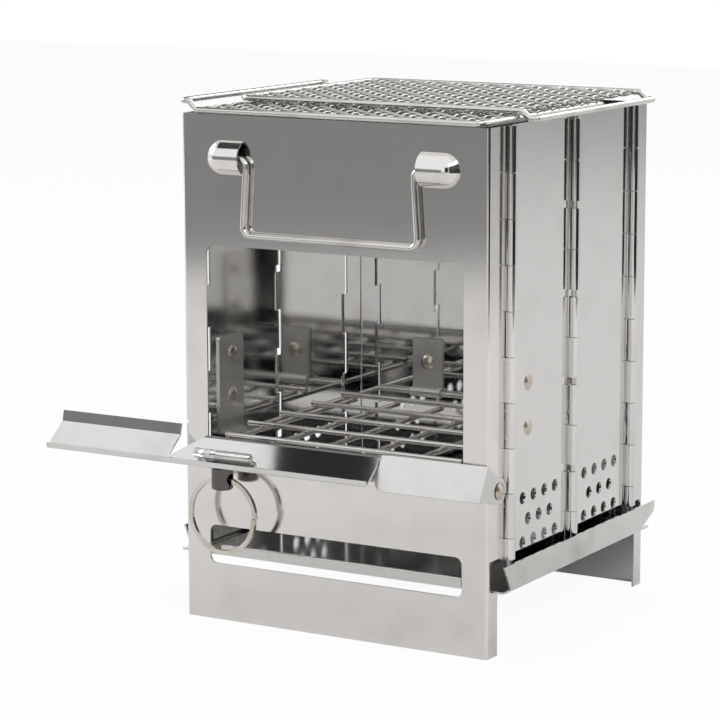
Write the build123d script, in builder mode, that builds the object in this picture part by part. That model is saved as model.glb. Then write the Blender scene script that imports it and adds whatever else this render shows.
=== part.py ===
from build123d import *
from math import atan2, cos, hypot, sin
import os

# Folding camping stove of stainless sheet and wire.
# X runs across the front, Y from the front panel to the back, Z up from the ground.
# The origin is on the ground, in the plane of the front panel's face, midway between the sides.

# Overall sizes of the opened stove
width = 140.0
depth = 140.0
height = 207.0
sheet = 0.8
bend_radius = 1.4

# Play between pieces
slide_gap = 0.3
turning_play = 0.08

# Feed window and ash slot in the front panel
window_width = 118.0
window_bottom = 68.0
window_top = 154.5
window_corner = 4.0
slot_width = 117.0
slot_bottom = 23.5
slot_top = 39.5
slot_corner = 3.0

# Legs below the tray
leg_flange_depth = 8.0
notch_corner = 1.5

# Piano hinges
knuckle_count = 10
knuckle_outer_radius = 2.2
knuckle_bore_radius = 1.3
knuckle_gap = 0.3
hinge_neck = 3.0
hinge_setback = 15.5
hinge_notch_play = 0.5
leaf_bottom = 28.0

# Air holes low in the side leaves, counted from the top row
vent_radius = 2.5
vent_pitch = 9.3
vent_row_pitch = 9.0
vent_top_row = 59.0
vent_row_counts = (4, 3, 4)

# Base tray
tray_floor_level = 26.0
tray_rail_top = 36.5
tray_front = 4.0
tray_lip_height = 3.6
tray_lip_width = 112.0
rail_front = 5.0
rail_rear = 142.0
rail_bevel = 6.0
rail_side_play = 0.5

# Bail handle and its pressed ears
ear_span = 98.0
ear_level = 190.0
ear_radius = 7.0
ear_sink = 1.5
ear_barrel = 10.0
bail_wire_radius = 1.2
bail_span = 76.0
bail_drop = 30.5
bail_splay = 2.0
bail_stub = 7.5
bail_stand_off = 2.2
bail_corner = 3.5

# Feed flap with its ear, and the rivet it turns on
flap_pivot_depth = 7.0
flap_pivot_level = 66.0
flap_ear_radius = 5.4
flap_top_level = 77.0
flap_bottom_level = 64.0
flap_top_out = 1.6
flap_bottom_out = 8.6
flap_inner_end = 24.0
flap_corner = 4.0
flap_rivet_shank = 1.8
flap_rivet_head = 3.4
flap_rivet_head_height = 1.2

# Handle arm, a bent channel that runs past the left side
arm_left_end = -130.0
arm_overlap = 8.0
arm_fold_out = 2.9
arm_fold_level = 76.0
arm_lip_out = 13.6
arm_lip_level = 67.2
arm_lip_height = 1.6
arm_back_rise = 4.4
arm_back_lean = 1.0
arm_notch_inner = 58.0

# Pull stud, its split ring and the screw that lies in the channel
stud_place = -46.0
stud_out = 9.6
stud_radius = 4.4
stud_bottom = 57.4
stud_hole_level = 61.6
stud_hole_radius = 2.4
ring_outer_radius = 16.0
ring_band = 1.7
ring_turn_height = 1.25
screw_left = -57.0
screw_length = 26.0
screw_thread_length = 17.0
screw_radius = 2.1
screw_neck_radius = 1.7

# Fire grate of welded rods
grate_rod_radius = 1.15
grate_level = 76.0
grate_weld_sink = 0.25
grate_half_width = 60.0
grate_nose_half_width = 53.75
grate_front = 7.0
grate_row_pitch = 25.0
grate_rows = 5
grate_bar_pitch = 21.5
grate_bars = 4

# Straps on the rear panel that the grate hangs in
strap_span = 69.4
strap_width = 15.0
strap_top = 98.0
strap_rivet_level = 87.3

# Brackets on the front side leaves that the grate rests on
bracket_front = 23.0
bracket_width = 18.0
bracket_top = 112.5
bracket_tab_reach = 11.5
bracket_tab_corner = 5.0
bracket_rivet_depth = 32.8
bracket_rivet_levels = (86.8, 104.8)
small_rivet_shank = 1.7
small_rivet_head = 3.4
small_rivet_height = 1.2

# Wire grills that lie on top
grill_wire_radius = 1.25
grill_corner = 4.0
grill_length = 136.0
grill_depth = 106.0
lower_grill_left = -70.4
lower_grill_front = 1.4
lower_grill_lift = 3.6
upper_grill_right = 73.5
upper_grill_rear = 138.0
grill_end_slope = 3.5
grill_end_flat = 3.0
grill_end_bend = 1.5
mesh_thickness = 1.6
mesh_hole = 6.2
mesh_pitch = 8.4
mesh_edge_gap = 0.2

# Places worked out from the sizes above
side = width / 2
barrel_x = side - sheet + knuckle_outer_radius
hinge_clearance = knuckle_outer_radius + hinge_notch_play
flange_depth = hinge_setback - hinge_clearance
knuckle_pitch = (height - leaf_bottom) / knuckle_count
pin_radius = knuckle_bore_radius - turning_play
tray_half_width = barrel_x + knuckle_outer_radius + rail_side_play + sheet
loop_outer_radius = grate_rod_radius + turning_play + sheet
grate_pivot_depth = depth - sheet - loop_outer_radius
bar_level = grate_level - 2 * grate_rod_radius + grate_weld_sink
bracket_tab_top = bar_level - grate_rod_radius - slide_gap
grate_bar_reach = grate_half_width - grate_rod_radius
lower_grill_level = height + grill_wire_radius
upper_grill_level = lower_grill_level + 2 * grill_wire_radius + slide_gap
bail_y = -bail_stand_off
ear_ball_x = (ear_span + ear_barrel - ear_radius) / 2
ring_middle_radius = ring_outer_radius - ring_band / 2

os.makedirs("parts", exist_ok=True)


def knuckle_row(barrel_y, edge_y, parity, neck=knuckle_gap):
    """Every second knuckle of a right-hand hinge, rolled from the sheet whose edge is at edge_y."""
    with BuildPart() as row:
        for index in range(parity, knuckle_count, 2):
            below = knuckle_gap if index % 2 == 1 else neck
            above = neck if index % 2 == 1 else knuckle_gap
            bottom = leaf_bottom + index * knuckle_pitch + below / 2
            top = leaf_bottom + (index + 1) * knuckle_pitch - above / 2
            with BuildSketch(Plane.XY.offset(bottom)):
                with Locations((barrel_x, barrel_y)):
                    Circle(knuckle_outer_radius)
                with Locations((side - sheet / 2, (barrel_y + edge_y) / 2)):
                    Rectangle(sheet, abs(barrel_y - edge_y))
                with Locations((barrel_x, barrel_y)):
                    Circle(knuckle_bore_radius, mode=Mode.SUBTRACT)
            extrude(amount=top - bottom)
    return row.part


def end_panel(parity):
    """Blank of an end panel: face, flanges with knuckles, legs, and notches for the tray."""
    knuckles = knuckle_row(hinge_setback, flange_depth, parity)
    with BuildPart() as blank:
        with BuildSketch(Plane.XY) as outer_section:
            with Locations((0, flange_depth / 2)):
                Rectangle(width, flange_depth)
            fillet(outer_section.vertices().group_by(Axis.Y)[0], bend_radius)
        extrude(amount=height)
        with BuildSketch(Plane.XY) as inner_section:
            with Locations((0, sheet + flange_depth / 2)):
                Rectangle(width - 2 * sheet, flange_depth)
            fillet(inner_section.vertices().group_by(Axis.Y)[0], bend_radius - sheet)
        extrude(amount=height, mode=Mode.SUBTRACT)
        add(knuckles)
        mirror(knuckles, about=Plane.YZ)
        with BuildSketch(Plane.YZ.offset(-tray_half_width)) as notch:
            with Locations((tray_front - slide_gap - notch_corner, tray_floor_level)):
                Rectangle(
                    hinge_setback, tray_rail_top + 1 - tray_floor_level, align=(Align.MIN, Align.MIN)
                )
            fillet(notch.vertices().group_by(Axis.X)[0], notch_corner)
            with Locations((leg_flange_depth, -1)):
                Rectangle(hinge_setback, tray_floor_level + 2, align=(Align.MIN, Align.MIN))
        extrude(amount=2 * tray_half_width, mode=Mode.SUBTRACT)
    return blank.part


def side_leaf(start, end, start_parity, start_neck, end_parity, end_neck):
    """One right-hand side leaf between two hinge lines, with its knuckles and air holes."""
    first = knuckle_row(start, start + hinge_clearance, start_parity, start_neck)
    last = knuckle_row(end, end - hinge_clearance, end_parity, end_neck)
    with BuildPart() as leaf:
        with BuildSketch(Plane.YZ.offset(side - sheet)):
            with Locations(((start + end) / 2, (leaf_bottom + height) / 2)):
                Rectangle(end - start - 2 * hinge_clearance, height - leaf_bottom)
            for row, count in enumerate(vent_row_counts):
                with Locations(((start + end) / 2, vent_top_row - row * vent_row_pitch)):
                    with GridLocations(vent_pitch, 1, count, 1):
                        Circle(vent_radius, mode=Mode.SUBTRACT)
        extrude(amount=sheet)
        add(first)
        add(last)
    return leaf.part


def rivet(seat, outward, shank, shank_length, head, head_height):
    """Round-head rivet whose head stands on its seat point and looks outward along X or Y."""
    upright = Vector(0, 0, 1)
    ball = (head**2 + head_height**2) / (2 * head_height)
    half_turn = atan2(head, ball - head_height) / 2
    shoulder = (ball * sin(half_turn), head_height - ball + ball * cos(half_turn))
    with BuildPart() as made:
        with BuildSketch(Plane(seat, x_dir=upright, z_dir=upright.cross(Vector(outward)))):
            with BuildLine():
                Polyline(
                    (0, head_height), (0, -shank_length), (shank, -shank_length), (shank, 0), (head, 0)
                )
                ThreePointArc((head, 0), shoulder, (0, head_height))
            make_face()
        revolve(axis=Axis(seat, outward))
    return made.part


def ear_form(radius, barrel):
    """Round form of the right ear: a barrel along X, closed at its outer end by a half ball."""
    with BuildPart() as form:
        with BuildSketch(Plane((ear_ball_x, ear_sink, ear_level))):
            with BuildLine():
                Polyline((radius, 0), (-barrel, 0), (-barrel, -radius), (0, -radius))
                ThreePointArc((0, -radius), (radius * sin(0.785), -radius * cos(0.785)), (radius, 0))
            make_face()
        revolve(axis=Axis((0, ear_sink, ear_level), (1, 0, 0)))
    return form.part


def bent_wire(points, corner, radius):
    """Round wire along straight runs joined by bends; its first run is along X."""
    with BuildPart() as bent:
        with BuildLine():
            FilletPolyline(*points, radius=corner)
        with BuildSketch(Plane(points[0], x_dir=(0, 1, 0), z_dir=(1, 0, 0))):
            Circle(radius)
        sweep()
    return bent.part


# Front panel: feed window, ash slot and the two pressed ears of the bail
front_blank = end_panel(parity=0)
right_ear = ear_form(ear_radius, ear_barrel)
right_ear_hollow = ear_form(ear_radius - sheet, ear_barrel + sheet)
with BuildPart() as front_panel:
    add(front_blank)
    add(right_ear)
    mirror(right_ear, about=Plane.YZ)
    # the ears are pressed out of the face, so nothing of their form is left behind it
    with BuildSketch(Plane.XY.offset(ear_level - 2 * ear_radius)):
        with Locations((0, sheet)):
            Rectangle(ear_span + 4 * ear_radius, 2 * ear_radius, align=(Align.CENTER, Align.MIN))
    extrude(amount=4 * ear_radius, mode=Mode.SUBTRACT)
    add(right_ear_hollow, mode=Mode.SUBTRACT)
    mirror(right_ear_hollow, about=Plane.YZ, mode=Mode.SUBTRACT)
    with BuildSketch(Plane.XZ.offset(-sheet)) as window:
        with Locations((0, (window_bottom + window_top) / 2)):
            Rectangle(window_width, window_top - window_bottom)
        fillet(window.vertices(), window_corner)
    extrude(amount=2 * sheet, mode=Mode.SUBTRACT)
    with BuildSketch(Plane.XZ.offset(-sheet)) as ash_slot:
        with Locations((0, (slot_bottom + slot_top) / 2)):
            Rectangle(slot_width, slot_top - slot_bottom)
        fillet(ash_slot.vertices(), slot_corner)
    extrude(amount=2 * sheet, mode=Mode.SUBTRACT)
    with BuildSketch(Plane.YZ.offset(side - 2 * sheet)):
        with Locations((flap_pivot_depth, flap_pivot_level)):
            Circle(flap_rivet_shank)
    extrude(amount=3 * sheet, mode=Mode.SUBTRACT)

front_panel.part.label = "front_panel"
export_step(front_panel.part, "parts/front_panel.step")

# Rear panel: a blank turned to face forward, with holes for the strap rivets
rear_blank = end_panel(parity=0)
with BuildPart() as rear_panel:
    mirror(rear_blank, about=Plane.XZ.offset(-depth / 2))
    with BuildSketch(Plane.XZ.offset(-depth)):
        with Locations((-strap_span / 2, strap_rivet_level), (strap_span / 2, strap_rivet_level)):
            Circle(small_rivet_shank)
    extrude(amount=2 * sheet, mode=Mode.SUBTRACT)

rear_panel.part.label = "rear_panel"
export_step(rear_panel.part, "parts/rear_panel.step")

# Side leaves: two to each side, folding at the middle hinge
front_leaf_blank = side_leaf(hinge_setback, depth / 2, 1, knuckle_gap, 0, hinge_neck)
rear_leaf_blank = side_leaf(depth / 2, depth - hinge_setback, 1, hinge_neck, 1, knuckle_gap)

with BuildPart() as right_front_leaf:
    add(front_leaf_blank)
    with BuildSketch(Plane.YZ.offset(side - 2 * sheet)):
        for level in bracket_rivet_levels:
            with Locations((bracket_rivet_depth, level)):
                Circle(small_rivet_shank)
    extrude(amount=3 * sheet, mode=Mode.SUBTRACT)

right_front_leaf.part.label = "right_front_leaf"
export_step(right_front_leaf.part, "parts/right_front_leaf.step")

with BuildPart() as left_front_leaf:
    mirror(right_front_leaf.part, about=Plane.YZ)

left_front_leaf.part.label = "left_front_leaf"
export_step(left_front_leaf.part, "parts/left_front_leaf.step")

with BuildPart() as right_rear_leaf:
    add(rear_leaf_blank)

right_rear_leaf.part.label = "right_rear_leaf"
export_step(right_rear_leaf.part, "parts/right_rear_leaf.step")

with BuildPart() as left_rear_leaf:
    mirror(right_rear_leaf.part, about=Plane.YZ)

left_rear_leaf.part.label = "left_rear_leaf"
export_step(left_rear_leaf.part, "parts/left_rear_leaf.step")

# Hinge pins, three to each side
hinge_lines = {"front": hinge_setback, "middle": depth / 2, "rear": depth - hinge_setback}
for place, line in hinge_lines.items():
    for hand, reach in (("right", barrel_x), ("left", -barrel_x)):
        with BuildPart() as hinge_pin:
            with BuildSketch(Plane.XY.offset(leaf_bottom + knuckle_gap)):
                with Locations((reach, line)):
                    Circle(pin_radius)
            extrude(amount=height - leaf_bottom - 2 * knuckle_gap)
        hinge_pin.part.label = f"{hand}_{place}_hinge_pin"
        export_step(hinge_pin.part, f"parts/{hand}_{place}_hinge_pin.step")

# Bail handle hanging in the ears
bail_bottom = ear_level - bail_drop
bail_half = bail_span / 2
with BuildPart() as bail_handle:
    add(
        bent_wire(
            [
                (-bail_half - bail_stub, bail_y, ear_level),
                (-bail_half, bail_y, ear_level),
                (-bail_half - bail_splay, bail_y, bail_bottom),
                (bail_half + bail_splay, bail_y, bail_bottom),
                (bail_half, bail_y, ear_level),
                (bail_half + bail_stub, bail_y, ear_level),
            ],
            bail_corner,
            bail_wire_radius,
        )
    )

bail_handle.part.label = "bail_handle"
export_step(bail_handle.part, "parts/bail_handle.step")

# Feed flap: leaning plate with an ear that wraps the right flange
flap_top = (-flap_top_out, flap_top_level)
flap_bottom = (-flap_bottom_out, flap_bottom_level)
ear_inner = side + slide_gap
ear_outer = ear_inner + sheet
flap_run = hypot(flap_bottom_out - flap_top_out, flap_top_level - flap_bottom_level)
flap_face = (
    (flap_top_level - flap_bottom_level) / flap_run * sheet,
    (flap_bottom_out - flap_top_out) / flap_run * sheet,
)
flap_front_top = (flap_top[0] - flap_face[0], flap_top[1] + flap_face[1])
flap_front_bottom = (flap_bottom[0] - flap_face[0], flap_bottom[1] + flap_face[1])
with BuildPart() as feed_flap:
    with BuildSketch(Plane.YZ.offset(flap_inner_end)):
        with BuildLine():
            Polyline(flap_top, flap_bottom, flap_front_bottom, flap_front_top, close=True)
        make_face()
    extrude(amount=ear_outer - flap_inner_end)
    free_end = feed_flap.edges().group_by(Axis.X)[0]
    fillet(free_end.filter_by(lambda edge: edge.length < 2 * sheet), flap_corner)
    with BuildSketch(Plane.YZ.offset(ear_inner)):
        with BuildLine():
            Polyline(
                flap_front_top,
                flap_front_bottom,
                (flap_pivot_depth, flap_pivot_level - flap_ear_radius),
                (flap_pivot_depth, flap_pivot_level + flap_ear_radius),
                close=True,
            )
        make_face()
        with Locations((flap_pivot_depth, flap_pivot_level)):
            Circle(flap_ear_radius)
            Circle(flap_rivet_shank + turning_play, mode=Mode.SUBTRACT)
    extrude(amount=sheet)

feed_flap.part.label = "feed_flap"
export_step(feed_flap.part, "parts/feed_flap.step")

# Rivet that the flap turns on, through the right flange
with BuildPart() as flap_rivet:
    add(
        rivet(
            (ear_outer + slide_gap, flap_pivot_depth, flap_pivot_level),
            (1, 0, 0),
            flap_rivet_shank,
            ear_outer + slide_gap - side + sheet,
            flap_rivet_head,
            flap_rivet_head_height,
        )
    )

flap_rivet.part.label = "flap_rivet"
export_step(flap_rivet.part, "parts/flap_rivet.step")

# Handle arm: a bent channel, welded behind the flap by a tongue, sloped off at the left column
arm_run = hypot(arm_lip_out - arm_fold_out, arm_fold_level - arm_lip_level)
slope_y = (arm_fold_out - arm_lip_out) / arm_run
slope_z = (arm_lip_level - arm_fold_level) / arm_run


def on_slope(share, below):
    """Point (y, z) at a share of the channel's sloped face, from fold to lip, and below the face."""
    y = -arm_fold_out + share * arm_run * slope_y - below * slope_z
    z = arm_fold_level + share * arm_run * slope_z + below * slope_y
    return (y, z)


tongue_back_top = (flap_top[0] + flap_face[0], flap_top[1] - flap_face[1])
tongue_share = (flap_top_level - arm_lip_level) / (flap_top_level - flap_bottom_level)
tongue_foot = (
    flap_top[0] + tongue_share * (flap_bottom[0] - flap_top[0]),
    flap_top[1] + tongue_share * (flap_bottom[1] - flap_top[1]),
)
tongue_back_foot = (tongue_foot[0] + flap_face[0], tongue_foot[1] - flap_face[1])
with BuildPart() as handle_arm:
    with BuildSketch(Plane.YZ.offset(arm_left_end)):
        with BuildLine():
            channel = Polyline(
                (-arm_fold_out + arm_back_lean, arm_fold_level + arm_back_rise),
                (-arm_fold_out, arm_fold_level),
                (-arm_lip_out, arm_lip_level),
                (-arm_lip_out, arm_lip_level + arm_lip_height),
            )
            offset(channel, amount=sheet, side=Side.LEFT)
        make_face()
    extrude(amount=flap_inner_end - slide_gap - arm_left_end)
    with BuildSketch(Plane.YZ.offset(flap_inner_end - arm_overlap)):
        with BuildLine():
            Polyline(flap_top, tongue_foot, tongue_back_foot, tongue_back_top, close=True)
        make_face()
    extrude(amount=2 * arm_overlap)
    with BuildSketch(Plane.XZ):
        with BuildLine():
            Polyline(
                (-side - sheet, arm_fold_level + 2 * arm_back_rise),
                (-side - sheet, arm_lip_level + arm_lip_height),
                (-arm_notch_inner, arm_fold_level + sheet),
                (flap_inner_end - slide_gap, arm_fold_level + sheet),
                (flap_inner_end - slide_gap, arm_fold_level + 2 * arm_back_rise),
                close=True,
            )
        make_face()
    extrude(amount=2 * arm_lip_out, mode=Mode.SUBTRACT)

handle_arm.part.label = "handle_arm"
export_step(handle_arm.part, "parts/handle_arm.step")

# Pull stud under the channel, with a cross hole for the ring
with BuildPart() as pull_stud:
    with BuildSketch(Plane.XY.offset(stud_bottom)):
        with Locations((stud_place, -stud_out)):
            Circle(stud_radius)
    extrude(amount=arm_fold_level - stud_bottom)
    chamfer(pull_stud.edges().group_by(Axis.Z)[0], 0.5)
    with BuildSketch(Plane.YZ.offset(stud_place - 2 * stud_radius)):
        with BuildLine():
            Polyline(
                on_slope(-1, sheet),
                on_slope(2, sheet),
                on_slope(2, -arm_run),
                on_slope(-1, -arm_run),
                close=True,
            )
        make_face()
        with Locations((-stud_out, stud_hole_level)):
            Circle(stud_hole_radius)
    extrude(amount=4 * stud_radius, mode=Mode.SUBTRACT)

pull_stud.part.label = "pull_stud"
export_step(pull_stud.part, "parts/pull_stud.step")

# Split ring through the stud: two turns of flat wire, a seam between them
ring_centre = (stud_place, -stud_out, stud_hole_level - ring_middle_radius)
with BuildPart() as split_ring:
    with BuildSketch(Plane(ring_centre)):
        with Locations((ring_middle_radius, 0)):
            Rectangle(ring_band, 2 * ring_turn_height)
        with Locations((ring_outer_radius, 0)):
            Rectangle(ring_band / 2, ring_turn_height / 4, mode=Mode.SUBTRACT)
    revolve(axis=Axis(ring_centre, (0, 1, 0)))

split_ring.part.label = "split_ring"
export_step(split_ring.part, "parts/split_ring.step")

# Screw lying in the channel above the stud
screw_seat = on_slope(0.7, -screw_radius - slide_gap / 3)
with BuildPart() as arm_screw:
    with BuildSketch(Plane.YZ.offset(screw_left)):
        with Locations(screw_seat):
            Circle(screw_neck_radius)
    extrude(amount=screw_length - screw_thread_length)
    with BuildSketch(Plane.YZ.offset(screw_left + screw_length - screw_thread_length)):
        with Locations(screw_seat):
            Circle(screw_radius)
    extrude(amount=screw_thread_length)
    chamfer(arm_screw.edges().group_by(Axis.X)[-1], screw_radius / 3)

arm_screw.part.label = "arm_screw"
export_step(arm_screw.part, "parts/arm_screw.step")

# Base tray: floor under the leaves, rails outside the hinges, rolled lip behind the ash slot
with BuildPart() as base_tray:
    with BuildSketch(Plane.XY.offset(tray_floor_level)):
        with Locations((0, depth / 2)):
            Rectangle(2 * tray_half_width, depth - 2 * tray_front)
    extrude(amount=sheet)
    with BuildSketch(Plane.YZ.offset(tray_half_width - sheet)):
        with BuildLine():
            Polyline(
                (2 * rail_front, tray_floor_level),
                (rail_front, tray_rail_top),
                (rail_rear, tray_rail_top),
                (rail_rear - 1, tray_floor_level + rail_bevel),
                (rail_rear - 2.5 * rail_bevel, tray_floor_level),
                close=True,
            )
        make_face()
    rail = extrude(amount=sheet)
    mirror(rail, about=Plane.YZ)
    with BuildSketch(Plane.YZ.offset(-tray_lip_width / 2)):
        with Locations((tray_front + sheet / 2, tray_floor_level + tray_lip_height / 2)):
            Rectangle(sheet, tray_lip_height)
        with Locations((tray_front + sheet, tray_floor_level + tray_lip_height)):
            Circle(sheet)
    extrude(amount=tray_lip_width)

base_tray.part.label = "base_tray"
export_step(base_tray.part, "parts/base_tray.step")

# Fire grate: cross rods on top, bars welded under them, and the rear rod that it turns on
grate_back_row = grate_front + (grate_rows - 1) * grate_row_pitch
with BuildPart() as fire_grate:
    for row in range(grate_rows):
        half = grate_nose_half_width + grate_rod_radius if row == 0 else grate_half_width
        with BuildSketch(Plane.YZ.offset(-half)):
            with Locations((grate_front + row * grate_row_pitch, grate_level)):
                Circle(grate_rod_radius)
        extrude(amount=2 * half)
    with BuildSketch(Plane.YZ.offset(-grate_half_width)):
        with Locations((grate_pivot_depth, bar_level)):
            Circle(grate_rod_radius)
    extrude(amount=2 * grate_half_width)
    with BuildSketch(Plane.XZ.offset(grate_rod_radius - grate_front)):
        with Locations((0, bar_level)):
            with GridLocations(grate_bar_pitch, 1, grate_bars, 1):
                Circle(grate_rod_radius)
            with GridLocations(2 * grate_nose_half_width, 1, 2, 1):
                Circle(grate_rod_radius)
    extrude(amount=-(grate_back_row - grate_front + 2 * grate_rod_radius))
    with BuildSketch(Plane.XZ.offset(grate_rod_radius - grate_front - grate_row_pitch)):
        with Locations((0, bar_level)):
            with GridLocations(2 * grate_bar_reach, 1, 2, 1):
                Circle(grate_rod_radius)
    extrude(amount=-(grate_pivot_depth - grate_front - grate_row_pitch + grate_rod_radius))

fire_grate.part.label = "fire_grate"
export_step(fire_grate.part, "parts/fire_grate.step")

# Straps on the rear panel, rolled at the lower end round the grate's rear rod
strap_face = depth - 2 * sheet
for name, place in (("left", -strap_span / 2), ("right", strap_span / 2)):
    with BuildPart() as grate_strap:
        with BuildSketch(Plane.YZ.offset(place - strap_width / 2)):
            with Locations((strap_face, bar_level)):
                Rectangle(sheet, strap_top - bar_level, align=(Align.MIN, Align.MIN))
            with Locations((grate_pivot_depth, bar_level)):
                Circle(loop_outer_radius)
                Circle(grate_rod_radius + turning_play, mode=Mode.SUBTRACT)
        extrude(amount=strap_width)
        with BuildSketch(Plane.XZ.offset(-depth)):
            with Locations((place, strap_rivet_level)):
                Circle(small_rivet_shank)
        extrude(amount=3 * sheet, mode=Mode.SUBTRACT)
    grate_strap.part.label = f"{name}_grate_strap"
    export_step(grate_strap.part, f"parts/{name}_grate_strap.step")

# Strap rivets, their heads inside
with BuildPart() as strap_rivets:
    for place in (-strap_span / 2, strap_span / 2):
        add(
            rivet(
                (place, strap_face, strap_rivet_level),
                (0, -1, 0),
                small_rivet_shank,
                2 * sheet,
                small_rivet_head,
                small_rivet_height,
            )
        )

strap_rivets.part.label = "strap_rivets"
export_step(strap_rivets.part, "parts/strap_rivets.step")

# Brackets inside the front side leaves, each with a tab that the grate's side bar rests on
bracket_inner = side - 2 * sheet
with BuildPart() as right_grate_bracket:
    with BuildSketch(Plane.YZ.offset(bracket_inner)) as bracket_strip:
        with Locations((bracket_front, bracket_tab_top - sheet)):
            Rectangle(bracket_width, bracket_top - bracket_tab_top + sheet, align=(Align.MIN, Align.MIN))
        fillet(bracket_strip.vertices().group_by(Axis.Y)[-1], notch_corner)
        for level in bracket_rivet_levels:
            with Locations((bracket_rivet_depth, level)):
                Circle(small_rivet_shank, mode=Mode.SUBTRACT)
    extrude(amount=sheet)
    with BuildSketch(Plane.XY.offset(bracket_tab_top - sheet)) as bracket_tab:
        with Locations((bracket_inner, bracket_front)):
            Rectangle(bracket_tab_reach, bracket_width, align=(Align.MAX, Align.MIN))
        fillet(bracket_tab.vertices().group_by(Axis.X)[0], bracket_tab_corner)
    extrude(amount=sheet)

right_grate_bracket.part.label = "right_grate_bracket"
export_step(right_grate_bracket.part, "parts/right_grate_bracket.step")

with BuildPart() as left_grate_bracket:
    mirror(right_grate_bracket.part, about=Plane.YZ)

left_grate_bracket.part.label = "left_grate_bracket"
export_step(left_grate_bracket.part, "parts/left_grate_bracket.step")

# Bracket rivets: the shank fills leaf and bracket, with a head outside and a set head inside
with BuildPart() as bracket_rivets:
    for level in bracket_rivet_levels:
        outer_half = rivet(
            (side, bracket_rivet_depth, level),
            (1, 0, 0),
            small_rivet_shank,
            sheet,
            small_rivet_head,
            small_rivet_height,
        )
        inner_half = rivet(
            (bracket_inner, bracket_rivet_depth, level),
            (-1, 0, 0),
            small_rivet_shank,
            sheet,
            small_rivet_head,
            small_rivet_height,
        )
        add(outer_half)
        add(inner_half)
        mirror(outer_half, about=Plane.YZ)
        mirror(inner_half, about=Plane.YZ)

bracket_rivets.part.label = "bracket_rivets"
export_step(bracket_rivets.part, "parts/bracket_rivets.step")

# Two wire grills on top: the lower one at the front left, the upper one at the rear right
lower_place = (lower_grill_left, lower_grill_front, lower_grill_level)
lower_ends = (lower_grill_level + lower_grill_lift, lower_grill_level)
upper_place = (upper_grill_right - grill_length, upper_grill_rear - grill_depth, upper_grill_level)
upper_ends = (upper_grill_level, lower_grill_level)
for name, place, ends in (("lower", lower_place, lower_ends), ("upper", upper_place, upper_ends)):
    left, front, level = place
    rear = front + grill_depth
    halves = []
    for outer, toward, end_level in ((left, 1, ends[0]), (left + grill_length, -1, ends[1])):
        flat_end = outer + toward * grill_end_flat
        bend = flat_end + toward * grill_end_slope
        halves.append(
            bent_wire(
                [
                    (left + grill_length / 2, front, level),
                    (bend, front, level),
                    (flat_end, front, end_level),
                    (outer, front, end_level),
                    (outer, rear, end_level),
                    (flat_end, rear, end_level),
                    (bend, rear, level),
                    (left + grill_length / 2, rear, level),
                ]
                if end_level != level
                else [
                    (left + grill_length / 2, front, level),
                    (outer, front, level),
                    (outer, rear, level),
                    (left + grill_length / 2, rear, level),
                ],
                grill_corner if end_level == level else grill_end_bend,
                grill_wire_radius,
            )
        )
    with BuildPart() as grill_frame:
        add(halves[0])
        add(halves[1])
    grill_frame.part.label = f"{name}_grill_frame"
    export_step(grill_frame.part, f"parts/{name}_grill_frame.step")

    inset = grill_wire_radius + mesh_edge_gap
    mesh_left = left + (inset if ends[0] == level else grill_end_flat + grill_end_slope)
    mesh_right = left + grill_length - (inset if ends[1] == level else grill_end_flat + grill_end_slope)
    mesh_width = mesh_right - mesh_left
    mesh_depth = grill_depth - 2 * inset
    columns = int(mesh_width / mesh_pitch)
    rows = int(mesh_depth / mesh_pitch)
    with BuildPart() as grill_mesh:
        with BuildSketch(Plane.XY.offset(level - mesh_thickness / 2)) as mesh_outline:
            with Locations(((mesh_left + mesh_right) / 2, front + grill_depth / 2)):
                Rectangle(mesh_width, mesh_depth)
            fillet(mesh_outline.vertices(), grill_corner)
            with Locations(((mesh_left + mesh_right) / 2, front + grill_depth / 2)):
                with GridLocations(mesh_pitch, mesh_pitch, columns, rows):
                    Rectangle(mesh_hole, mesh_hole, mode=Mode.SUBTRACT)
        extrude(amount=mesh_thickness)
    grill_mesh.part.label = f"{name}_grill_mesh"
    export_step(grill_mesh.part, f"parts/{name}_grill_mesh.step")
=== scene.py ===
import math

import bmesh
import bpy
from mathutils import Matrix, Vector


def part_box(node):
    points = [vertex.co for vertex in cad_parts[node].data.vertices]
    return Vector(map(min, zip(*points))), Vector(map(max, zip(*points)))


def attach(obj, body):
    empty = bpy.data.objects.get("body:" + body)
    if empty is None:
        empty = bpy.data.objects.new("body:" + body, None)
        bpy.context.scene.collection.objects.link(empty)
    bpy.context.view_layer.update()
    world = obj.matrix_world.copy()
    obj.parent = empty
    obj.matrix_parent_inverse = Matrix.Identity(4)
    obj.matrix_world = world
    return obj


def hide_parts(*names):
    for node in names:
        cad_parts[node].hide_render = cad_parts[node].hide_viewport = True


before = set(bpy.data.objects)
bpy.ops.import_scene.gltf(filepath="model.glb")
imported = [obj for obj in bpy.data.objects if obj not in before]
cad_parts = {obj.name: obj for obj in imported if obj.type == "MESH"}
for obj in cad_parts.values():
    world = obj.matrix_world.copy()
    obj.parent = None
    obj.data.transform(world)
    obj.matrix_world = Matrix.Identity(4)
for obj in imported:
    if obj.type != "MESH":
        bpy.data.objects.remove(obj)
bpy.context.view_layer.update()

bl_info = {
    "name": "Folding Camping Stove",
    "version": (1, 0, 0),
    "blender": (4, 5, 0),
    "location": "View3D > Sidebar > Stove",
    "description": "Finishes for a folding wood stove of stainless sheet and wire",
    "category": "Add Mesh",
}

LEAF_NODES = ("right_front_leaf", "right_rear_leaf", "left_front_leaf", "left_rear_leaf")
TRAY_NODES = ("base_tray",)
BRACKET_NODES = ("left_grate_strap", "right_grate_strap", "left_grate_bracket", "right_grate_bracket")
RIVET_NODES = ("strap_rivets", "bracket_rivets", "flap_rivet")
WIRE_NODES = ("bail_handle", "fire_grate", "lower_grill_frame", "upper_grill_frame")
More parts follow.
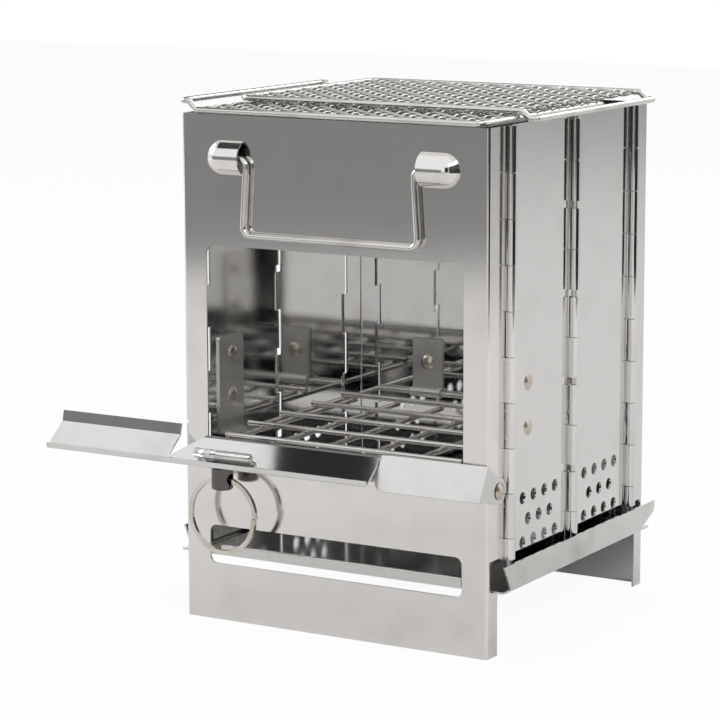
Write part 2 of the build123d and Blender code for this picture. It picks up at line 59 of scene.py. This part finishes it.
# Places on the fire grate, in metres, as in the CAD
GRATE_BARS = (-0.05375, -0.03225, -0.01075, 0.01075, 0.03225, 0.05375)
GRATE_SIDE_BARS = (-0.05885, 0.05885)
GRATE_RODS = (0.007, 0.032, 0.057, 0.082, 0.107)
WELD_LEVEL = 0.07498
# How far the mesh wires run past the CAD mesh to meet their frame
FRAME_REACH = 0.0004
PIN_NODES = ("left_front_hinge_pin", "left_middle_hinge_pin", "left_rear_hinge_pin",
             "right_front_hinge_pin", "right_middle_hinge_pin", "right_rear_hinge_pin")


class Value:
    """A socket that takes part in Python arithmetic, each step adding a Math node."""

    def __init__(self, tree, socket):
        self.tree = tree
        self.socket = socket

    def math(self, operation, first, second):
        node = self.tree.nodes.new("ShaderNodeMath")
        node.operation = operation
        for slot, item in zip(node.inputs, (first, second)):
            if isinstance(item, Value):
                self.tree.links.new(item.socket, slot)
            else:
                slot.default_value = item
        return Value(self.tree, node.outputs[0])

    def __add__(self, other):
        return self.math("ADD", self, other)

    def __radd__(self, other):
        return self.math("ADD", other, self)

    def __mul__(self, other):
        return self.math("MULTIPLY", self, other)

    def __rmul__(self, other):
        return self.math("MULTIPLY", other, self)


class Finish:
    """A material under construction, with one method that adds any node."""

    def __init__(self, name):
        self.material = bpy.data.materials.new(name)
        self.material.use_nodes = True
        self.tree = self.material.node_tree
        self.tree.nodes.clear()

    def node(self, kind, settings=None, **sockets):
        node = self.tree.nodes.new(kind)
        for key, setting in (settings or {}).items():
            if key == "stops":
                ramp = node.color_ramp
                while len(ramp.elements) < len(setting):
                    ramp.elements.new(0.5)
                for element, (place, colour) in zip(ramp.elements, setting):
                    element.position = place
                    element.color = colour
            else:
                setattr(node, key, setting)
        for key, item in sockets.items():
            socket = node.inputs[key.replace("_", " ")]
            if isinstance(item, Value):
                self.tree.links.new(item.socket, socket)
            else:
                socket.default_value = item
        return node

    def output(self, node, name):
        return Value(self.tree, node.outputs[name])

    def noise(self, stretch, detail=3.0):
        place = self.output(self.node("ShaderNodeTexCoord"), "Object")
        spread = self.node("ShaderNodeMapping", Vector=place, Scale=stretch)
        grain = self.node("ShaderNodeTexNoise", Vector=self.output(spread, "Vector"), Scale=1.0, Detail=detail)
        return self.output(grain, "Fac")

    def steel(self, colour, tint, roughness, spread, stretch, bump):
        """Steel with a grain drawn along the axis with the lowest stretch, and cloudy handling marks."""
        grain = self.noise(stretch)
        clouds = self.noise((55.0, 55.0, 55.0), 4.0)
        stain = self.node("ShaderNodeValToRGB", {"stops": (
            (0.50, (*colour, 1.0)),
            (0.78, (*tint, 1.0)),
        )}, Fac=clouds)
        rough = roughness + spread * (0.6 * clouds + 0.4 * grain)
        relief = self.node("ShaderNodeBump", Strength=bump, Distance=0.0001, Height=grain)
        shader = self.node(
            "ShaderNodeBsdfPrincipled", Base_Color=self.output(stain, "Color"), Metallic=1.0,
            Roughness=rough, Normal=self.output(relief, "Normal"))
        self.node("ShaderNodeOutputMaterial", Surface=self.output(shader, "BSDF"))
        return self.material


def sizes():
    return bpy.context.scene.stove_sizes


def colours():
    return bpy.context.scene.stove_finishes


def paint(names, material):
    for name in names:
        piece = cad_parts[name]
        if not piece.material_slots:
            piece.data.materials.append(material)
        for holder in piece.material_slots:
            holder.material = material


def finished_piece(name, bm, material, body, smooth=True):
    """Puts a bmesh in the scene as one piece on its body."""
    bmesh.ops.recalc_face_normals(bm, faces=bm.faces)
    mesh = bpy.data.meshes.new(name)
    for face in bm.faces:
        face.smooth = smooth
    bm.to_mesh(mesh)
    bm.free()
    if not mesh.polygons:
        raise RuntimeError(f"{name} has no faces")
    mesh.materials.append(material)
    piece = bpy.data.objects.new(name, mesh)
    bpy.context.scene.collection.objects.link(piece)
    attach(piece, body)
    return piece


def crimped_wire(length, pitch, radius, phase):
    """One crimped wire along X from 0 to length, as a mesh of its own."""
    steps = 4 * round(length / pitch)
    bm = bmesh.new()
    ring = bmesh.ops.create_circle(bm, segments=6, radius=radius, cap_ends=True)["verts"]
    bmesh.ops.rotate(bm, verts=ring, cent=(0, 0, 0), matrix=Matrix.Rotation(math.pi / 2, 3, "Y"))
    edges = list({edge for vert in ring for edge in vert.link_edges})
    rise = 0.0
    for step in range(1, steps + 1):
        along = length * step / steps
        height = phase * radius * math.sin(math.pi * along / pitch)
        grown = bmesh.ops.extrude_edge_only(bm, edges=edges)["geom"]
        verts = [item for item in grown if isinstance(item, bmesh.types.BMVert)]
        edges = [item for item in grown if isinstance(item, bmesh.types.BMEdge)]
        bmesh.ops.translate(bm, verts=verts, vec=(length / steps, 0, height - rise))
        rise = height
    bmesh.ops.contextual_create(bm, geom=edges)
    mesh = bpy.data.meshes.new("crimped_wire")
    bm.to_mesh(mesh)
    bm.free()
    return mesh


def woven_panel(low, high, level, pitch, radius):
    """A plain weave of crimped wires that fills a rectangle."""
    width, depth = high[0] - low[0], high[1] - low[1]
    bm = bmesh.new()
    for across in (True, False):
        run, side = (width, depth) if across else (depth, width)
        strands = round(side / pitch)
        gap = side / strands
        crossing = run / round(run / pitch)
        pair = [crimped_wire(run, crossing, radius, phase) for phase in (1, -1)]
        for index in range(strands):
            start = len(bm.verts)
            bm.from_mesh(pair[(index + (0 if across else 1)) % 2])
            bm.verts.ensure_lookup_table()
            verts = bm.verts[start:]
            offset = gap * (index + 0.5)
            if across:
                place = (low[0], low[1] + offset, level)
            else:
                bmesh.ops.rotate(bm, verts=verts, cent=(0, 0, 0), matrix=Matrix.Rotation(math.pi / 2, 3, "Z"))
                place = (low[0] + offset, low[1], level)
            bmesh.ops.translate(bm, verts=verts, vec=place)
        for mesh in pair:
            bpy.data.meshes.remove(mesh)
    return bm


class StoveSizes(bpy.types.PropertyGroup):
    weave_pitch: bpy.props.FloatProperty(
        name="Weave Pitch", description="Distance between the mesh wires", default=0.0063, unit="LENGTH")
    weave_wire: bpy.props.FloatProperty(
        name="Weave Wire", description="Radius of one mesh wire", default=0.00065, unit="LENGTH")
    weld_radius: bpy.props.FloatProperty(
        name="Weld Radius", description="Radius of a spot weld on the grate", default=0.0014, unit="LENGTH")
    thread_pitch: bpy.props.FloatProperty(
        name="Thread Pitch", description="Pitch of the screw's thread", default=0.0010, unit="LENGTH")


class StoveFinishes(bpy.types.PropertyGroup):
    polished: bpy.props.FloatVectorProperty(
        name="Polished Sheet", description="Colour of the mirror-polished sheet", size=3,
        default=(0.72, 0.715, 0.71), subtype="COLOR")
    satin: bpy.props.FloatVectorProperty(
        name="Satin Sheet", description="Colour of the satin sheet", size=3,
        default=(0.74, 0.735, 0.725), subtype="COLOR")
    plain: bpy.props.FloatVectorProperty(
        name="Plain Sheet", description="Colour of the tray", size=3,
        default=(0.68, 0.67, 0.66), subtype="COLOR")
    wire: bpy.props.FloatVectorProperty(
        name="Wire", description="Colour of the drawn wire", size=3,
        default=(0.68, 0.67, 0.65), subtype="COLOR")
    heat_tint: bpy.props.FloatVectorProperty(
        name="Heat Tint", description="Bronze tint beside welds and rivets", size=3,
        default=(0.46, 0.33, 0.20), subtype="COLOR")
    nickel: bpy.props.FloatVectorProperty(
        name="Nickel", description="Warm nickel of the split ring", size=3,
        default=(0.74, 0.69, 0.63), subtype="COLOR")
    dark: bpy.props.FloatVectorProperty(
        name="Dark Steel", description="Colour of the turned stud", size=3,
        default=(0.13, 0.125, 0.12), subtype="COLOR")


class STOVE_OT_sheet(bpy.types.Operator):
    """Finish the folded sheet panels, leaves, tray and handle arm"""
    bl_idname = "stove.sheet"
    bl_label = "Sheet Finishes"

    def execute(self, context):
        shade = colours()
        paint(("rear_panel",), Finish("mirror_panel").steel(
            shade.polished, (0.66, 0.65, 0.64), 0.02, 0.03, (25.0, 3500.0, 3500.0), 0.02))
        paint(("front_panel",), Finish("polished_panel").steel(
            (0.80, 0.785, 0.77), (0.73, 0.715, 0.70), 0.08, 0.07, (25.0, 3500.0, 3500.0), 0.03))
        paint(("handle_arm",), Finish("polished_channel").steel(
            shade.polished, (0.64, 0.63, 0.61), 0.03, 0.05, (25.0, 3500.0, 3500.0), 0.03))
        paint(LEAF_NODES, Finish("satin_leaf").steel(
            shade.satin, (0.69, 0.68, 0.67), 0.03, 0.05, (3500.0, 30.0, 3500.0), 0.04))
        paint(("feed_flap",), Finish("brushed_flap").steel(
            (0.68, 0.67, 0.66), (0.60, 0.59, 0.58), 0.20, 0.12, (30.0, 3500.0, 3500.0), 0.10))
        paint(TRAY_NODES, Finish("plain_tray").steel(
            shade.plain, (0.52, 0.51, 0.49), 0.07, 0.08, (40.0, 2500.0, 2500.0), 0.05))
        paint(BRACKET_NODES, Finish("dull_bracket").steel(
            (0.78, 0.77, 0.75), (0.66, 0.64, 0.61), 0.24, 0.14, (60.0, 60.0, 1500.0), 0.12))
        return {"FINISHED"}


class STOVE_OT_wire(bpy.types.Operator):
    """Finish the bail, grate rods, grill frames, hinge pins, stud and rivets"""
    bl_idname = "stove.wire"
    bl_label = "Wire and Rivet Finishes"

    def execute(self, context):
        shade = colours()
        paint(WIRE_NODES + PIN_NODES, Finish("drawn_wire").steel(
            shade.wire, (0.52, 0.50, 0.47), 0.16, 0.12, (900.0, 900.0, 900.0), 0.05))
        paint(RIVET_NODES, Finish("tinted_rivet").steel(
            (0.62, 0.56, 0.48), shade.heat_tint, 0.20, 0.14, (900.0, 900.0, 900.0), 0.08))
        paint(("pull_stud",), Finish("turned_stud").steel(
            shade.dark, (0.20, 0.19, 0.18), 0.12, 0.08, (60.0, 60.0, 5000.0), 0.10))
        return {"FINISHED"}


class STOVE_OT_grills(bpy.types.Operator):
    """Weave the two crimped wire meshes in the grill frames"""
    bl_idname = "stove.grills"
    bl_label = "Woven Grills"

    def execute(self, context):
        size = sizes()
        weave = Finish("crimped_mesh").steel(
            (0.52, 0.51, 0.495), (0.38, 0.365, 0.345), 0.18, 0.12, (900.0, 900.0, 900.0), 0.05)
        for layer in ("lower", "upper"):
            node = f"{layer}_grill_mesh"
            low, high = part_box(node)
            bm = woven_panel(
                (low[0] - FRAME_REACH, low[1] - FRAME_REACH), (high[0] + FRAME_REACH, high[1] + FRAME_REACH),
                (low[2] + high[2]) / 2, size.weave_pitch, size.weave_wire)
            piece = finished_piece(f"{layer}_woven_mesh", bm, weave, f"{layer}_grill")
            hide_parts(node)
        return {"FINISHED"}


class STOVE_OT_welds(bpy.types.Operator):
    """Add the spot welds where the grate's rods cross"""
    bl_idname = "stove.welds"
    bl_label = "Grate Welds"

    def execute(self, context):
        radius = sizes().weld_radius
        welded = Finish("tinted_weld").steel(
            (0.50, 0.42, 0.33), colours().heat_tint, 0.28, 0.15, (1500.0, 1500.0, 1500.0), 0.25)
        low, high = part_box("fire_grate")
        bm = bmesh.new()
        for rod in GRATE_RODS:
            reached = GRATE_BARS if rod == GRATE_RODS[0] else GRATE_BARS + GRATE_SIDE_BARS
            for bar in reached:
                bead = bmesh.ops.create_icosphere(bm, subdivisions=2, radius=radius)["verts"]
                bmesh.ops.scale(bm, verts=bead, vec=(0.85, 0.85, 0.60))
                bmesh.ops.translate(bm, verts=bead, vec=(
                    min(max(bar, low[0] + radius), high[0] - radius), rod, WELD_LEVEL))
        finished_piece("grate_welds", bm, welded, "grate")
        return {"FINISHED"}


class STOVE_OT_screw(bpy.types.Operator):
    """Cut the thread on the screw that lies in the channel"""
    bl_idname = "stove.screw"
    bl_label = "Threaded Screw"

    def execute(self, context):
        pitch = sizes().thread_pitch
        low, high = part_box("arm_screw")
        middle = Vector((0, (low[1] + high[1]) / 2, (low[2] + high[2]) / 2))
        radius = (high[1] - low[1]) / 2 - 0.00004
        core = radius * 0.80
        shoulder = low[0] + 0.38 * (high[0] - low[0])
        bm = bmesh.new()
        for start, end, size in ((low[0], shoulder, radius), (shoulder, high[0], core)):
            made = bmesh.ops.create_cone(
                bm, cap_ends=True, segments=24, radius1=size, radius2=size, depth=end - start)["verts"]
            bmesh.ops.rotate(bm, verts=made, cent=(0, 0, 0), matrix=Matrix.Rotation(math.pi / 2, 3, "Y"))
            bmesh.ops.translate(bm, verts=made, vec=middle + Vector(((start + end) / 2, 0, 0)))
        turns = int((high[0] - shoulder) / pitch) - 1
        foot = bm.verts.new(middle + Vector((shoulder + 0.05 * pitch, 0, core * 0.97)))
        crest = bm.verts.new(middle + Vector((shoulder + 0.50 * pitch, 0, radius)))
        back = bm.verts.new(middle + Vector((shoulder + 0.95 * pitch, 0, core * 0.97)))
        ridge = [foot, crest, back, bm.edges.new((foot, crest)), bm.edges.new((crest, back))]
        steps = 16
        bmesh.ops.spin(
            bm, geom=ridge, cent=middle, axis=(1, 0, 0), dvec=(pitch / steps, 0, 0),
            angle=2 * math.pi * turns, steps=steps * turns, use_merge=False, use_duplicate=False)
        bright = Finish("screw_steel").steel(
            (0.70, 0.69, 0.68), (0.55, 0.54, 0.52), 0.14, 0.10, (900.0, 900.0, 900.0), 0.05)
        piece = finished_piece("threaded_screw", bm, bright, "handle")
        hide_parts("arm_screw")
        return {"FINISHED"}


class STOVE_OT_ring(bpy.types.Operator):
    """Wind the split ring's two turns of flat spring wire"""
    bl_idname = "stove.ring"
    bl_label = "Split Ring"

    def execute(self, context):
        low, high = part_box("split_ring")
        centre = (Vector(low) + Vector(high)) / 2
        outer = (high[0] - low[0]) / 2
        band = 0.0017
        thick = (high[1] - low[1]) / 3
        bm = bmesh.new()
        strip = bmesh.ops.create_grid(bm, x_segments=1, y_segments=1, size=0.5)["verts"]
        bmesh.ops.scale(bm, verts=strip, vec=(band, thick * 0.96, 1))
        bmesh.ops.translate(bm, verts=strip, vec=(
            centre.x + outer - band / 2, low[1] + thick / 2, centre.z))
        turn_steps = 72
        bmesh.ops.spin(
            bm, geom=list(bm.faces) + list(bm.edges) + list(bm.verts), cent=centre, axis=(0, 1, 0),
            dvec=(0, thick / turn_steps, 0), angle=4 * math.pi, steps=2 * turn_steps,
            use_merge=False, use_duplicate=False)
        nickel = Finish("warm_nickel").steel(
            colours().nickel, (0.50, 0.44, 0.38), 0.15, 0.10, (900.0, 900.0, 900.0), 0.05)
        piece = finished_piece("wound_split_ring", bm, nickel, "ring", smooth=False)
        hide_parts("split_ring")
        return {"FINISHED"}


class STOVE_OT_stage(bpy.types.Operator):
    """Set the pale floor, the soft lamps and the camera"""
    bl_idname = "stove.stage"
    bl_label = "Stage"

    def execute(self, context):
        scene = context.scene
        scene.view_settings.view_transform = "Standard"

        ground = Finish("pale_floor")
        paths = ground.node("ShaderNodeLightPath")
        seen = ground.output(paths, "Is Camera Ray")
        matt = ground.node("ShaderNodeBsdfDiffuse", Color=(0.90, 0.895, 0.89, 1.0))
        white = ground.node("ShaderNodeEmission", Color=(1.0, 1.0, 1.0, 1.0), Strength=1.0)
        blend = ground.node("ShaderNodeMixShader", Fac=0.94 * seen)
        ground.tree.links.new(matt.outputs[0], blend.inputs[1])
        ground.tree.links.new(white.outputs[0], blend.inputs[2])
        ground.node("ShaderNodeOutputMaterial", Surface=ground.output(blend, "Shader"))
        bm = bmesh.new()
        bmesh.ops.create_grid(bm, x_segments=1, y_segments=1, size=3.0)
        mesh = bpy.data.meshes.new("floor")
        bm.to_mesh(mesh)
        bm.free()
        mesh.materials.append(ground.material)
        floor = bpy.data.objects.new("floor", mesh)
        floor.location = (0, 0, -0.0002)
        scene.collection.objects.link(floor)

        world = bpy.data.worlds.new("studio")
        scene.world = world
        world.use_nodes = True
        tree = world.node_tree
        tree.nodes.clear()
        path = tree.nodes.new("ShaderNodeLightPath")
        dim = tree.nodes.new("ShaderNodeBackground")
        dim.inputs["Color"].default_value = (1.0, 0.99, 0.98, 1.0)
        dim.inputs["Strength"].default_value = 0.45
        bright = tree.nodes.new("ShaderNodeBackground")
        bright.inputs["Strength"].default_value = 1.0
        bright.inputs["Color"].default_value = (1.0, 1.0, 1.0, 1.0)
        mix = tree.nodes.new("ShaderNodeMixShader")
        out = tree.nodes.new("ShaderNodeOutputWorld")
        shown = Value(tree, path.outputs["Is Camera Ray"]).math(
            "MAXIMUM", Value(tree, path.outputs["Is Camera Ray"]),
            Value(tree, path.outputs["Is Glossy Ray"]))
        shown = shown.math("MAXIMUM", shown, Value(tree, path.outputs["Is Transmission Ray"]))
        tree.links.new(shown.socket, mix.inputs[0])
        tree.links.new(dim.outputs[0], mix.inputs[1])
        tree.links.new(bright.outputs[0], mix.inputs[2])
        tree.links.new(mix.outputs[0], out.inputs[0])

        target = Vector((0, 0.06, 0.105))
        for name, place, energy, width in (
                ("key_lamp", (-1.75, -0.35, 0.95), 15.0, 0.8),
                ("fill_lamp", (1.4, -0.5, 0.9), 11.0, 1.2),
                ("back_lamp", (0.2, 1.5, 1.3), 7.0, 1.0)):
            lamp = bpy.data.lights.new(name, "AREA")
            lamp.energy = energy
            lamp.size = width
            holder = bpy.data.objects.new(name, lamp)
            holder.location = place
            holder.rotation_euler = (target - Vector(place)).to_track_quat("-Z", "Y").to_euler()
            scene.collection.objects.link(holder)

        flags = {}
        for kind, glow in (("black", 0.03), ("grey", 0.25)):
            flag = Finish(f"{kind}_flag")
            flag.node("ShaderNodeOutputMaterial", Surface=flag.output(
                flag.node("ShaderNodeEmission", Color=(glow, glow, glow, 1.0), Strength=1.0), "Emission"))
            flags[kind] = flag.material
        for name, kind, place, aim, width, height in (
                ("flag_behind_camera", "black", (0.80, -1.35, 0.30), (0, 0.02, 0.12), 0.62, 1.10),
                ("flag_right_side", "black", (0.85, -0.15, 0.20), (0, 0.06, 0.12), 1.10, 1.00),
                ("flag_front_left", "grey", (-0.42, -0.72, 0.16), (0, 0, 0.17), 0.90, 0.26),
                ("flag_over_channel", "black", (-0.204, -0.008, 0.418), (-0.008, -0.008, 0.07), 0.22, 0.056),
                ("flag_right_rear", "black", (0.545, 0.80, 0.10), (0.071, 0.02, 0.12), 0.055, 0.60),
                ("flag_overhead", "black", (-0.35, 0.75, 0.85), (0, 0.06, 0.2), 0.80, 0.50)):
            bm = bmesh.new()
            corners = bmesh.ops.create_grid(bm, x_segments=1, y_segments=1, size=0.5)["verts"]
            bmesh.ops.scale(bm, verts=corners, vec=(width, height, 1))
            mesh = bpy.data.meshes.new(name)
            bm.to_mesh(mesh)
            bm.free()
            mesh.materials.append(flags[kind])
            card = bpy.data.objects.new(name, mesh)
            card.location = place
            card.rotation_euler = (Vector(aim) - Vector(place)).to_track_quat("Z", "Y").to_euler()
            card.visible_camera = False
            card.visible_diffuse = False
            card.visible_shadow = False
            scene.collection.objects.link(card)

        view = bpy.data.cameras.new("photo_camera")
        view.lens = 143.16
        view.sensor_width = 36.0
        view.sensor_fit = "HORIZONTAL"
        view.shift_x = -0.066
        view.shift_y = -0.0054
        view.clip_start = 0.01
        camera = bpy.data.objects.new("photo_camera", view)
        camera.location = (0.5777, -0.9495, 0.3070)
        camera.rotation_euler = Vector((-0.4894, 0.8551, -0.1711)).to_track_quat("-Z", "Y").to_euler()
        scene.collection.objects.link(camera)
        scene.camera = camera
        return {"FINISHED"}


class STOVE_PT_panel(bpy.types.Panel):
    bl_label = "Folding Camping Stove"
    bl_idname = "STOVE_PT_panel"
    bl_space_type = "VIEW_3D"
    bl_region_type = "UI"
    bl_category = "Stove"

    def draw(self, context):
        layout = self.layout
        for group in (context.scene.stove_sizes, context.scene.stove_finishes):
            for name in group.__annotations__:
                layout.prop(group, name)
        for step in OPERATORS:
            layout.operator(step.bl_idname)


OPERATORS = (STOVE_OT_sheet, STOVE_OT_wire, STOVE_OT_grills, STOVE_OT_welds, STOVE_OT_screw,
             STOVE_OT_ring, STOVE_OT_stage)
CLASSES = (StoveSizes, StoveFinishes) + OPERATORS + (STOVE_PT_panel,)


def register():
    for item in CLASSES:
        bpy.utils.register_class(item)
    bpy.types.Scene.stove_sizes = bpy.props.PointerProperty(type=StoveSizes)
    bpy.types.Scene.stove_finishes = bpy.props.PointerProperty(type=StoveFinishes)


def unregister():
    del bpy.types.Scene.stove_finishes
    del bpy.types.Scene.stove_sizes
    for item in reversed(CLASSES):
        bpy.utils.unregister_class(item)


def main():
    register()
    bpy.ops.stove.sheet()
    bpy.ops.stove.wire()
    bpy.ops.stove.grills()
    bpy.ops.stove.welds()
    bpy.ops.stove.screw()
    bpy.ops.stove.ring()
    bpy.ops.stove.stage()


if __name__ == "__main__":
    main()
